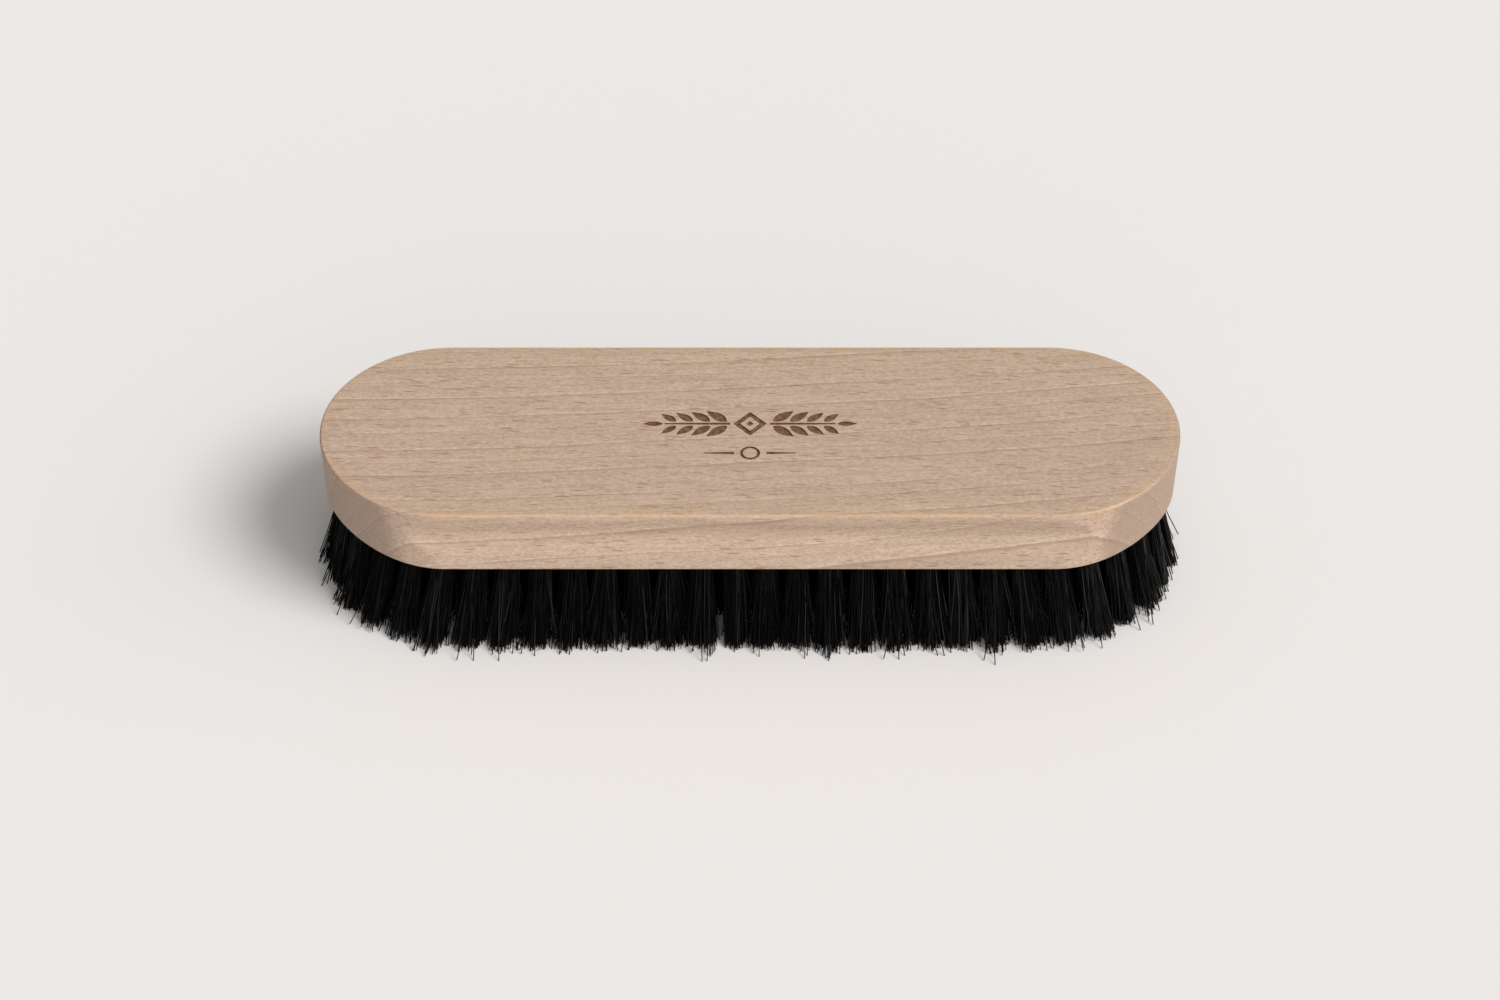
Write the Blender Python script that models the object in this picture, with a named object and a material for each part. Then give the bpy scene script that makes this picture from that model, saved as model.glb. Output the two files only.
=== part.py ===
"""Clothes brush: a one-piece beech block with blind holes, set with tufts of horsehair.

Metres, +Z up. The brush stands on its hair tips, which lie in the plane z = 0. X runs along
the block, Y across it, and the origin is under the middle of the block. Nothing on the brush
is jointed: the hair bends, and the block and the tufts keep their places.
"""

import math

import bmesh
import bpy

# Block
LENGTH = 0.180
WIDTH = 0.0540
THICKNESS = 0.0150
ARRIS = 0.0006            # rounding of the top edge
LOWER_ARRIS = 0.0003      # easing of the bottom edge
END_TAPER = 0.0008        # how far the underside is drawn in at each end
CORNER_DRAFT = 0.0011     # the same, where the ends turn into the long sides
COVE_DEPTH = 0.0013       # finger cove along both long sides
COVE_TOP = 0.0006         # distances of the cove's edges and its deepest line below the top
COVE_DEEPEST = 0.0064
COVE_FOOT = 0.0127
COVE_STEPS = 9            # segments down the cove
END_STEPS = 30            # segments round each end

# Hair
HAIR_LENGTH = 0.022       # from the underside to the tips
ROWS = 20                 # rows across the block, between the centres of its round ends
ROW_PITCH = 0.00666
LINES = 3                 # lines of tufts on each side of the middle line
LINE_PITCH = 0.0070
ARC_TUFTS = (2, 6, 9)     # tufts on each arc round an end, from the inmost arc
LEAN_LENGTHWISE = 0.0034  # how far the tips stand out beyond the roots, at the ends
LEAN_SIDEWAYS = 0.0022    # the same, at the outer lines
LEAN_FROM = 0.064         # half length at which the lengthwise lean is full
HOLE_DEPTH = 0.009
HOLE_RADIUS = 0.00245
TUFT_RADIUS = 0.0021
FAN_RADIUS = 0.0029       # tuft in a row, where its hair meets its neighbours'
TIP_RADIUS = 0.0024       # tuft round an end, at its tip
MINGLED_HEIGHT = 0.006    # height of the mingled tips of a row
SIDES = 6                 # sides of a hole and of a tuft
GAP = 0.0003              # clearance between pieces that touch on the brush

# Worked out from the dimensions above
HALF_WIDTH = WIDTH / 2
END_CENTRE = LENGTH / 2 - HALF_WIDTH
TOP = HAIR_LENGTH + THICKNESS
OUTER_LINE = LINES * LINE_PITCH
ROW_HALF_WIDTH = OUTER_LINE + 0.0026


def clear_scene():
    for item in list(bpy.data.objects):
        bpy.data.objects.remove(item, do_unlink=True)


def principled(name, colour, roughness):
    material = bpy.data.materials.new(name)
    material.use_nodes = True
    shader = material.node_tree.nodes["Principled BSDF"]
    shader.inputs["Base Color"].default_value = (*colour, 1.0)
    shader.inputs["Roughness"].default_value = roughness
    shader.inputs["Metallic"].default_value = 0.0
    return material


def new_object(name, mesh_data, material, parent):
    mesh_data.normal_update()
    mesh = bpy.data.meshes.new(name)
    mesh_data.to_mesh(mesh)
    mesh_data.free()
    mesh.materials.append(material)
    piece = bpy.data.objects.new(name, mesh)
    bpy.context.scene.collection.objects.link(piece)
    piece.parent = parent
    return piece


def add_rings(mesh_data, rings):
    """Closes a stack of rings of points, lowest first, into one skin with a cap at each end."""
    loops = [[mesh_data.verts.new(point) for point in ring] for ring in rings]
    for lower, upper in zip(loops, loops[1:]):
        for i in range(len(lower)):
            j = (i + 1) % len(lower)
            mesh_data.faces.new((lower[i], lower[j], upper[j], upper[i]))
    mesh_data.faces.new(reversed(loops[0]))
    mesh_data.faces.new(loops[-1])


def combine(piece, tool, operation):
    """Applies a Boolean to the piece and removes the tool."""
    boolean = piece.modifiers.new("cut_or_join", "BOOLEAN")
    boolean.solver = "EXACT"
    boolean.operation = operation
    boolean.object = tool
    depsgraph = bpy.context.evaluated_depsgraph_get()
    result = bpy.data.meshes.new_from_object(piece.evaluated_get(depsgraph))
    piece.modifiers.clear()
    piece.data = result
    bpy.data.objects.remove(tool, do_unlink=True)


def smooth_step(value):
    value = min(max(value, 0.0), 1.0)
    return value * value * (3 - 2 * value)


def cove_depth(below_top):
    """Depth of the finger cove: it starts under the arris and runs out above the bottom edge."""
    inwards = smooth_step((below_top - COVE_TOP) / (COVE_DEEPEST - COVE_TOP))
    outwards = smooth_step((COVE_FOOT - below_top) / (COVE_FOOT - COVE_DEEPEST))
    return COVE_DEPTH * min(inwards, outwards)


def outline(below_top, inset):
    """The block's outline at one height, anticlockwise. The cove is a straight groove, so it
    runs out by itself where the round ends fall away from it."""
    limit = HALF_WIDTH - inset - cove_depth(below_top)
    points = []
    for end in (1, -1):
        for step in range(END_STEPS + 1):
            angle = math.pi * (step / END_STEPS - 0.5)
            draft = END_TAPER * math.cos(angle) ** 2 + CORNER_DRAFT * math.sin(2 * angle) ** 2
            radius = HALF_WIDTH - inset - draft * below_top / THICKNESS
            x = end * (END_CENTRE + radius * math.cos(angle))
            y = end * radius * math.sin(angle)
            points.append((x, max(-limit, min(limit, y)), TOP - below_top))
    return points


def block_rings():
    """Heights below the top, each with how far the outline is drawn in by a rounded edge."""
    rings = []
    for quarter in (0, 30, 60, 90):
        angle = math.radians(quarter)
        rings.append((ARRIS * (1 - math.sin(angle)), ARRIS * (1 - math.cos(angle))))
    rings.reverse()
    for step in range(1, COVE_STEPS + 1):
        rings.append((COVE_TOP + (COVE_FOOT - COVE_TOP) * step / COVE_STEPS, 0.0))
    rings.append((THICKNESS - LOWER_ARRIS, 0.0))
    rings.append((THICKNESS, LOWER_ARRIS))
    return rings


def leaning(x, y, z):
    """Where the hair rooted at (x, y) is at height z: tufts lean outwards near the edges."""
    out = (HAIR_LENGTH - z) / HAIR_LENGTH
    lengthwise = LEAN_LENGTHWISE * min(abs(x) / LEAN_FROM, 1.0) ** 2
    sideways = LEAN_SIDEWAYS * (y / OUTER_LINE) ** 2
    return (x + math.copysign(lengthwise, x) * out, y + math.copysign(sideways, y) * out, z)


def ring_round(x, y, z, radius):
    centre_x, centre_y, _ = leaning(x, y, z)
    ring = []
    for side in range(SIDES):
        angle = 2 * math.pi * (side + 0.5) / SIDES
        ring.append((centre_x + radius * math.cos(angle), centre_y + radius * math.sin(angle), z))
    return ring


def row_places(row):
    """The roots of one row across the block."""
    x = (row - (ROWS - 1) / 2) * ROW_PITCH
    return [(x, line * LINE_PITCH) for line in range(-LINES, LINES + 1)]


def end_places(end):
    """The roots round one end, on arcs about the centre of the end: +1 right, -1 left."""
    centre = (ROWS - 1) / 2 * ROW_PITCH
    places = []
    for arc, count in enumerate(ARC_TUFTS, start=1):
        for tuft in range(1, count + 1):
            angle = math.pi * (tuft / (count + 1) - 0.5)
            x = centre + arc * LINE_PITCH * math.cos(angle)
            places.append((end * x, arc * LINE_PITCH * math.sin(angle)))
    return places


def all_places():
    rows = [place for row in range(ROWS) for place in row_places(row)]
    return rows + end_places(-1) + end_places(1)


def make_holes():
    """One cutter for every hole, each in line with its tuft."""
    mesh_data = bmesh.new()
    for x, y in all_places():
        heights = (HAIR_LENGTH - 0.001, HAIR_LENGTH + HOLE_DEPTH)
        add_rings(mesh_data, [ring_round(x, y, z, HOLE_RADIUS) for z in heights])
    mesh = bpy.data.meshes.new("holes")
    mesh_data.normal_update()
    mesh_data.to_mesh(mesh)
    mesh_data.free()
    cutter = bpy.data.objects.new("holes", mesh)
    cutter.hide_render = True
    cutter.display_type = "WIRE"
    bpy.context.scene.collection.objects.link(cutter)
    return cutter


def make_block(material, parent):
    mesh_data = bmesh.new()
    add_rings(mesh_data, [outline(*ring) for ring in reversed(block_rings())])
    block = new_object("block", mesh_data, material, parent)
    combine(block, make_holes(), "DIFFERENCE")
    block.data.shade_smooth()
    block.data.set_sharp_from_angle(angle=math.radians(30))


def tuft_rings(x, y, low, low_radius):
    """A tuft from its lower end up to the bottom of its hole."""
    top = HAIR_LENGTH + HOLE_DEPTH - GAP
    heights = ((low, low_radius), (HAIR_LENGTH, TUFT_RADIUS), (top, TUFT_RADIUS))
    return [ring_round(x, y, z, radius) for z, radius in heights]


def make_row(row, material, parent):
    """Seven tufts across the block, one piece where their tips mingle."""
    x = row_places(row)[0][0]
    half = (ROW_PITCH - GAP) / 2
    mesh_data = bmesh.new()
    rings = []
    for z in (0.0, MINGLED_HEIGHT):
        corners = ((-half, -1), (half, -1), (half, 1), (-half, 1))
        rings.append([leaning(x + dx, side * ROW_HALF_WIDTH, z) for dx, side in corners])
    add_rings(mesh_data, rings)
    piece = new_object(f"tuft_row_{row + 1:02d}", mesh_data, material, parent)
    mesh_data = bmesh.new()
    for place in row_places(row):
        add_rings(mesh_data, tuft_rings(*place, MINGLED_HEIGHT / 2, FAN_RADIUS))
    necks = new_object("necks", mesh_data, material, None)
    combine(piece, necks, "UNION")


def make_end_tufts(end, side, material, parent):
    for number, place in enumerate(end_places(end), start=1):
        mesh_data = bmesh.new()
        add_rings(mesh_data, tuft_rings(*place, 0.0, TIP_RADIUS))
        new_object(f"end_tuft_{side}_{number:02d}", mesh_data, material, parent)


def main():
    clear_scene()
    brush = bpy.data.objects.new("clothes_brush", None)
    bpy.context.scene.collection.objects.link(brush)
    beech = principled("oiled_beech", (0.52, 0.38, 0.28), 0.55)
    hair = principled("black_horsehair", (0.012, 0.011, 0.011), 0.45)
    make_block(beech, brush)
    for row in range(ROWS):
        make_row(row, hair, brush)
    make_end_tufts(-1, "left", hair, brush)
    make_end_tufts(1, "right", hair, brush)


main()
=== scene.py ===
"""Clothes brush: the fine surfaces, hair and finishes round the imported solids.

Laid out as an add-on and run as a script. Everything is in metres, in the frame of the solids:
+Z up, the hair tips at z = 0, X along the block.
"""

import math

import bmesh
import bpy
from bpy.props import FloatProperty, FloatVectorProperty, IntProperty, PointerProperty
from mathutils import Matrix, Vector


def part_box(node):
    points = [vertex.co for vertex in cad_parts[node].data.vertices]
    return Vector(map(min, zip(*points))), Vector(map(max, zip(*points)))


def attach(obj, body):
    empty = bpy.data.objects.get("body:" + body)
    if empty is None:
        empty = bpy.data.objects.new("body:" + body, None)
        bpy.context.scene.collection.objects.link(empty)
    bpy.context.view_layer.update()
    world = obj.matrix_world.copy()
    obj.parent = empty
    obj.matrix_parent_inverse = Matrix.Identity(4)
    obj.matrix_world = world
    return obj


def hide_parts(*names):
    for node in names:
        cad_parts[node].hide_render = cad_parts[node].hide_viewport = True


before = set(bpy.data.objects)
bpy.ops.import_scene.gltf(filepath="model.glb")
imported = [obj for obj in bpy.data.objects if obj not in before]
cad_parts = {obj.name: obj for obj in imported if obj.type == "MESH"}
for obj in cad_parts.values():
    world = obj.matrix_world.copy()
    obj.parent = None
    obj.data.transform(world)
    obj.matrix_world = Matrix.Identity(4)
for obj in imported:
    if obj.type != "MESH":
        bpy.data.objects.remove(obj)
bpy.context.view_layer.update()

bl_info = {
    "name": "Clothes Brush",
    "version": (1, 0, 0),
    "blender": (4, 5, 0),
    "location": "View3D > Sidebar > Brush",
    "description": "Makes a beech clothes brush with horsehair tufts round its packed solids",
    "category": "Add Mesh",
}

MM = 0.001
BLOCK_LOW, BLOCK_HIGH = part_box("block")
UNDERSIDE = BLOCK_LOW.z
TOP = BLOCK_HIGH.z
SOLID_TUFT_SIDES = 6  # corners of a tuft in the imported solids
SAME_HEIGHT = 0.02 * MM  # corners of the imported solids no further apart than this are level
CUTTER_LEAD = 1.0 * MM  # how far a cutter stands out of the wood it cuts
SMOOTH_WOOD_BELOW = math.radians(35)  # edges sharper than this stay sharp in the shading
SMOOTH_STEEL_BELOW = math.radians(50)
ROW_NODES = sorted(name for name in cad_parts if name.startswith("tuft_row"))
LEFT_NODES = sorted(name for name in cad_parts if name.startswith("end_tuft_left"))
RIGHT_NODES = sorted(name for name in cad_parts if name.startswith("end_tuft_right"))


# Node trees


class Value:
    """A node's output that can be added, multiplied and so on, so that a formula reads as one."""

    def __init__(self, graph, socket):
        self.graph = graph
        self.socket = socket

    def __add__(self, other):
        return self.graph.maths("ADD", self, other)

    def __radd__(self, other):
        return self.graph.maths("ADD", other, self)

    def __sub__(self, other):
        return self.graph.maths("SUBTRACT", self, other)

    def __rsub__(self, other):
        return self.graph.maths("SUBTRACT", other, self)

    def __mul__(self, other):
        return self.graph.maths("MULTIPLY", self, other)

    def __rmul__(self, other):
        return self.graph.maths("MULTIPLY", other, self)

    def __truediv__(self, other):
        return self.graph.maths("DIVIDE", self, other)

    def sibling(self, name):
        """Another output of the same node."""
        return Value(self.graph, self.socket.node.outputs[name])


class Graph:
    """A node tree under construction. Any input takes a plain value or another node's output."""

    def __init__(self, tree):
        self.tree = tree

    def feed(self, socket, value):
        if isinstance(value, Value):
            self.tree.links.new(value.socket, socket)
        else:
            socket.default_value = value

    def add(self, kind, inputs=None, output=0, **settings):
        node = self.tree.nodes.new(kind)
        for name, value in settings.items():
            setattr(node, name, value)
        for name, value in (inputs or {}).items():
            self.feed(node.inputs[name], value)
        return Value(self, node.outputs[output])

    def maths(self, operation, *values):
        return self.add("ShaderNodeMath", dict(enumerate(values)), operation=operation)

    def ramp(self, value, low, high, start=0.0, end=1.0, kind="SMOOTHSTEP"):
        """start below low, end above high, and between them a slope, smoothed unless LINEAR."""
        inputs = {"Value": value, "From Min": low, "From Max": high, "To Min": start, "To Max": end}
        return self.add("ShaderNodeMapRange", inputs, interpolation_type=kind)

    def vector(self, x, y, z):
        return self.add("ShaderNodeCombineXYZ", {0: x, 1: y, 2: z})

    def parts(self, vector):
        x = self.add("ShaderNodeSeparateXYZ", {0: vector})
        return x, x.sibling("Y"), x.sibling("Z")

    def plus(self, *vectors):
        total = vectors[0]
        for vector in vectors[1:]:
            total = self.add("ShaderNodeVectorMath", {0: total, 1: vector}, operation="ADD")
        return total

    def times(self, vector, factor):
        """A vector times a number or, part by part, another vector."""
        if isinstance(factor, tuple):
            return self.add("ShaderNodeVectorMath", {0: vector, 1: factor}, operation="MULTIPLY")
        inputs = {"Vector": vector, "Scale": factor}
        return self.add("ShaderNodeVectorMath", inputs, operation="SCALE")

    def noise(self, vector, detail=2.0, roughness=0.5):
        """Smooth noise of mean 0 from about -0.5 to 0.5, one wave to each unit of the vector."""
        inputs = {"Vector": vector, "Scale": 1.0, "Detail": detail, "Roughness": roughness}
        return self.add("ShaderNodeTexNoise", inputs) - 0.5

    def mix(self, factor, first, second):
        inputs = {0: factor, 6: first, 7: second}
        return self.add("ShaderNodeMix", inputs, output=2, data_type="RGBA")

    def attribute(self, name, data_type="FLOAT"):
        """A named attribute, in a geometry tree."""
        inputs = {"Name": name}
        return self.add("GeometryNodeInputNamedAttribute", inputs, data_type=data_type)

    def store(self, geometry, name, value, data_type="FLOAT"):
        """The geometry with the value kept on its points as a named attribute."""
        inputs = {"Geometry": geometry, "Name": name, "Value": value}
        kind = "GeometryNodeStoreNamedAttribute"
        return self.add(kind, inputs, data_type=data_type, domain="POINT")

    def random(self, low, high, seed, key=None):
        """A random number for each element, or one for each value of the key."""
        inputs = {2: low, 3: high, "Seed": seed}
        if key is not None:
            inputs["ID"] = key
        return self.add("FunctionNodeRandomValue", inputs, output=1, data_type="FLOAT")

    def scattered(self, reach, seed, key=None):
        """A level vector of this length in a random direction."""
        angle = self.random(0.0, 2 * math.pi, seed, key)
        cosine, sine = self.maths("COSINE", angle), self.maths("SINE", angle)
        return self.vector(reach * cosine, reach * sine, 0.0)


class Group(Graph):
    """A node group with named inputs and outputs."""

    def __init__(self, name, kind, inputs, outputs):
        super().__init__(bpy.data.node_groups.new(name, kind))
        for socket_name, socket_type, default in inputs:
            socket = self.tree.interface.new_socket(
                socket_name, in_out="INPUT", socket_type="NodeSocket" + socket_type)
            if default is not None:
                socket.default_value = default
        for socket_name, socket_type in outputs:
            self.tree.interface.new_socket(
                socket_name, in_out="OUTPUT", socket_type="NodeSocket" + socket_type)
        self.group_input = self.tree.nodes.new("NodeGroupInput")
        self.group_output = self.tree.nodes.new("NodeGroupOutput")

    def take(self, *names):
        values = [Value(self, self.group_input.outputs[name]) for name in names]
        return values if len(values) > 1 else values[0]

    def give(self, name, value):
        self.feed(self.group_output.inputs[name], value)


def run_geometry_tree(name, tree, mesh, values):
    """Puts the tree on the mesh with these input values and returns the result as a plain piece."""
    carrier = bpy.data.objects.new(name, mesh)
    bpy.context.scene.collection.objects.link(carrier)
    modifier = carrier.modifiers.new("nodes", "NODES")
    modifier.node_group = tree
    for item in tree.interface.items_tree:
        if item.item_type == "SOCKET" and item.in_out == "INPUT" and item.name in values:
            modifier[item.identifier] = values[item.name]
    return made_plain(carrier)


def made_plain(piece):
    """Replaces the piece's mesh with what its modifiers make of it, and removes them."""
    bpy.context.view_layer.update()
    depsgraph = bpy.context.evaluated_depsgraph_get()
    result = bpy.data.meshes.new_from_object(piece.evaluated_get(depsgraph), depsgraph=depsgraph)
    if not result.polygons:
        raise RuntimeError(f"{piece.name} came out empty")
    piece.modifiers.clear()
    piece.data = result
    result.name = piece.name
    return piece


def cut_away(piece, cutter):
    """Takes the cutter's shape out of the piece. The cut faces keep the cutter's material."""
    cut = piece.modifiers.new("cut", "BOOLEAN")
    cut.operation = "DIFFERENCE"
    cut.solver = "EXACT"
    cut.material_mode = "TRANSFER"
    cut.object = cutter
    made_plain(piece)
    bpy.data.objects.remove(cutter, do_unlink=True)


# The tufts' places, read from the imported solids


def outline_centres(node, height):
    """Centres of a node's tufts at one height, one for each tuft, in order of Y."""
    spots = [vertex.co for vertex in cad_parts[node].data.vertices]
    level = [spot for spot in spots if abs(spot.z - height) < SAME_HEIGHT]
    points = sorted({(round(spot.y, 5), round(spot.x, 5)) for spot in level})
    if not points or len(points) % SOLID_TUFT_SIDES:
        raise RuntimeError(f"{node} has no whole tufts at height {height}")
    centres = []
    for first in range(0, len(points), SOLID_TUFT_SIDES):
        corners = points[first:first + SOLID_TUFT_SIDES]
        x = sum(corner[1] for corner in corners) / SOLID_TUFT_SIDES
        y = sum(corner[0] for corner in corners) / SOLID_TUFT_SIDES
        centres.append(Vector((x, y, height)))
    return centres


def tuft_axes(nodes):
    """Where each tuft leaves the underside, and how far its tips stand out from there."""
    axes = []
    for node in nodes:
        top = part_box(node)[1].z
        for foot, head in zip(outline_centres(node, UNDERSIDE), outline_centres(node, top)):
            lean = (foot - head) * (UNDERSIDE / (top - UNDERSIDE))
            axes.append((foot, Vector((lean.x, lean.y, 0.0))))
    return axes


def sites_mesh(name, nodes):
    """One point for each tuft, with its lean as an attribute."""
    axes = tuft_axes(nodes)
    mesh = bpy.data.meshes.new(name)
    mesh.from_pydata([foot for foot, _ in axes], [], [])
    lean = mesh.attributes.new("lean", "FLOAT_VECTOR", "POINT")
    lean.data.foreach_set("vector", [part for _, vector in axes for part in vector])
    return mesh


# Shader groups and materials

RING_SLOPE = 0.07  # how far the rings climb across the block, to each metre along it
RING_BOW = 0.36  # how strongly they curve
RING_ACROSS = 0.85  # share of the rings' direction that lies across the block,
RING_THROUGH = 0.52  # and that goes down through it
RING_SWAY = 0.0035  # how far a ring strays from its line
LATE_LINE = (0.90, 0.965)  # where in a ring its dark line begins and is full,
LATE_LINE_END = (0.975, 1.0)  # and where it fades
FAINT_LINE = (0.38, 0.44)  # the same, for the fainter line between two dark ones
FAINT_LINE_END = (0.45, 0.52)
FLECK_SHARE = 0.9  # share of the cells that hold a fleck
END_GRAIN_FACING = (0.38, 0.55)  # how far the wall faces endways where end grain begins and is full

# Waves or cells to the metre, along the block, across it and through it
SWAY_WAVES = (11.0, 38.0, 38.0)
LONG_FLECKS = (150.0, 1500.0, 1500.0)
SHORT_FLECKS = (260.0, 2100.0, 2100.0)
COARSE_FIBRES = (70.0, 800.0, 800.0)
FINE_FIBRES = (1000.0, 1900.0, 1900.0)
CLOUDS = (22.0, 60.0, 60.0)
# patches of the burnished top edge and of the highlight painted along it
BURNISH_AND_HIGHLIGHT_PATCHES = (210.0, 420.0, 420.0)
SMEARS = (35.0, 60.0, 60.0)
CHAR_SPECKS = (900.0, 900.0, 900.0)
STEEL_STREAKS = (500.0, 9000.0, 9000.0)

WOOD_ROUGHNESS = 0.6
CHAR_ROUGHNESS = 0.8
STEEL_ROUGHNESS = 0.38
HAIR_BLACK = (0.001, 0.001, 0.001)
HAIR_SHINE_POWER = 7.0  # above 1, most hairs stay near black; the few paler ones are painted glints of lit strands
BROWN_FROM = 0.990  # the hairs whose random tint is higher are brown,
GOLDEN_FROM = 0.9982  # and these golden


def flecks(g, place, share):
    """Spindle-shaped flecks in this share of the cells of a stretched pattern."""
    near = g.add("ShaderNodeTexVoronoi", {"Vector": place, "Scale": 1.0})
    pick, size, _ = g.parts(near.sibling("Color"))
    reach = size * 0.2 + 0.13
    return g.ramp(near / reach, 0.5, 1.0, 1.0, 0.0) * g.maths("LESS_THAN", pick, share)


def beech_grain_group():
    """Growth rings, fibres, ray flecks and the tone of end grain, through the whole block."""
    inputs = [
        ("Place", "Vector", None),
        ("Facing", "Vector", None),
        ("Ring Spacing", "Float", 0.0043),
    ]
    outputs = [("Ring", "Float"), ("Pale", "Float"), ("Late", "Float"), ("Fleck", "Float"),
               ("Fibre", "Float"), ("Cloud", "Float"), ("End Grain", "Float"), ("Height", "Float")]
    g = Group("beech_grain", "ShaderNodeTree", inputs, outputs)
    place, facing, spacing = g.take("Place", "Facing", "Ring Spacing")
    x, y, z = g.parts(place)
    rise = x * RING_SLOPE + x * x * RING_BOW
    sway = g.noise(g.times(place, SWAY_WAVES), 3.0) * RING_SWAY
    across = (y - rise) * RING_ACROSS + z * RING_THROUGH + sway
    count = across / spacing
    uneven = g.noise(g.vector(count * 0.6, 3.0, 7.0), 0.0) * 1.3
    ring = g.maths("FRACT", count + uneven)
    strength = g.ramp(g.noise(g.vector(x * 30.0, count * 0.9, 0.0), 2.0), -0.2, 0.2, 0.35, 1.0)
    line = g.ramp(ring, *LATE_LINE) * g.ramp(ring, *LATE_LINE_END, 1.0, 0.5) * strength
    faint = g.ramp(ring, *FAINT_LINE) * g.ramp(ring, *FAINT_LINE_END, 1.0, 0.0) * strength
    g.give("Ring", line + faint * 0.4)
    g.give("Late", g.ramp(ring, 0.35, 1.0) * strength)
    g.give("Pale", g.ramp(ring, 0.0, 0.12, 1.0, 0.0) * strength)
    slant = g.plus(place, g.vector(0.0, sway * 0.25 + x * 0.06, sway * 0.25))
    fleck = flecks(g, g.times(slant, LONG_FLECKS), FLECK_SHARE)
    small = flecks(g, g.times(slant, SHORT_FLECKS), FLECK_SHARE)
    fleck = g.maths("MAXIMUM", fleck, small * 0.6)
    g.give("Fleck", fleck)
    coarse = g.noise(g.times(place, COARSE_FIBRES), 3.0, 0.65)
    fine = g.noise(g.times(place, FINE_FIBRES), 2.0, 0.7)
    fibre = coarse * 0.7 + fine * 1.3
    g.give("Fibre", fibre)
    g.give("Cloud", g.noise(g.times(place, CLOUDS), 2.0))
    facing_x, _, _ = g.parts(facing)
    g.give("End Grain", g.ramp(g.maths("ABSOLUTE", facing_x), *END_GRAIN_FACING))
    g.give("Height", fibre * 0.6 - fleck * 0.5 - line * 0.5)
    return g.tree


def wear_and_edge_highlight_group():
    """The rounded edge round the top, in patches: a burnished tone with a painted highlight along
    it; and faint smears.
    """
    inputs = [("Place", "Vector", None), ("Burnish And Highlight", "Float", 0.0)]
    g = Group("edge_wear", "ShaderNodeTree", inputs, [("Edge", "Float"), ("Smear", "Float")])
    place, burnish_and_highlight = g.take("Place", "Burnish And Highlight")
    patches = g.ramp(g.noise(g.times(place, BURNISH_AND_HIGHLIGHT_PATCHES), 3.0), -0.15, 0.25, 0.15, 1.0)
    g.give("Edge", burnish_and_highlight * patches)
    g.give("Smear", g.noise(g.times(place, SMEARS), 3.0))
    return g.tree


def new_material(name, roughness, **plain):
    """A material with one Principled BSDF, whose plain inputs are set here by name."""
    material = bpy.data.materials.new(name)
    material.use_nodes = True
    graph = Graph(material.node_tree)
    shader = material.node_tree.nodes["Principled BSDF"]
    shader.inputs["Roughness"].default_value = roughness
    for socket, value in plain.items():
        shader.inputs[socket.replace("_", " ")].default_value = value
    return material, graph, shader


def wood_coordinates(graph):
    place = graph.add("ShaderNodeTexCoord", output="Object")
    return place, place.sibling("Normal")


def placed_group(graph, tree, inputs):
    """A group node in the material, with its inputs fed."""
    node = graph.tree.nodes.new("ShaderNodeGroup")
    node.node_tree = tree
    for name, value in inputs.items():
        graph.feed(node.inputs[name], value)
    return {output.name: Value(graph, output) for output in node.outputs}


def bumped(graph, shader, height, distance, strength):
    inputs = {"Height": height, "Distance": distance, "Strength": strength}
    graph.feed(shader.inputs["Normal"], graph.add("ShaderNodeBump", inputs))


def with_alpha(colour):
    return (*colour, 1.0)


def beech_material(settings, grain_tree, wear_and_highlight_tree):
    material, g, shader = new_material("oiled_beech", WOOD_ROUGHNESS)
    place, facing = wood_coordinates(g)
    grain = placed_group(g, grain_tree, {"Place": place, "Facing": facing})
    burnish_and_highlight = g.add("ShaderNodeAttribute", output="Fac", attribute_name="burnish_and_highlight")
    wear_and_highlight = placed_group(g, wear_and_highlight_tree, {"Place": place, "Burnish And Highlight": burnish_and_highlight})
    colour = with_alpha(settings.wood_colour)
    colour = g.mix(g.ramp(grain["Cloud"], -0.25, 0.25), colour, with_alpha(settings.warm_colour))
    colour = g.mix(grain["Pale"] * 0.8, colour, with_alpha(settings.pale_colour))
    colour = g.mix(grain["Late"] * 0.2, colour, with_alpha(settings.ring_colour))
    colour = g.mix(grain["Ring"] * 0.75, colour, with_alpha(settings.ring_colour))
    fibre = g.ramp(grain["Fibre"], -0.35, 0.35, 0.0, 0.8, "LINEAR")
    colour = g.mix(fibre, colour, with_alpha(settings.ring_colour))
    colour = g.mix(grain["Fleck"] * 0.9, colour, with_alpha(settings.fleck_colour))
    # the end grain's own darker tone, deepened past it as painted shade, on both ends alike
    colour = g.mix(grain["End Grain"] * 0.65, colour, with_alpha(settings.end_grain_and_shade_colour))
    # the rounded top edge gets a burnished orange tone that also paints in its highlight, less on
    # the end grain
    edge = wear_and_highlight["Edge"] * (1 - grain["End Grain"] * 0.85)
    colour = g.mix(edge * 0.55, colour, with_alpha(settings.burnish_and_highlight_colour))
    g.feed(shader.inputs["Base Color"], colour)
    rough = grain["Fibre"] * 0.2 + wear_and_highlight["Smear"] * 0.15 + WOOD_ROUGHNESS - edge * 0.18
    g.feed(shader.inputs["Roughness"], rough)
    bumped(g, shader, grain["Height"], 0.03 * MM, 0.6)
    return material


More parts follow.
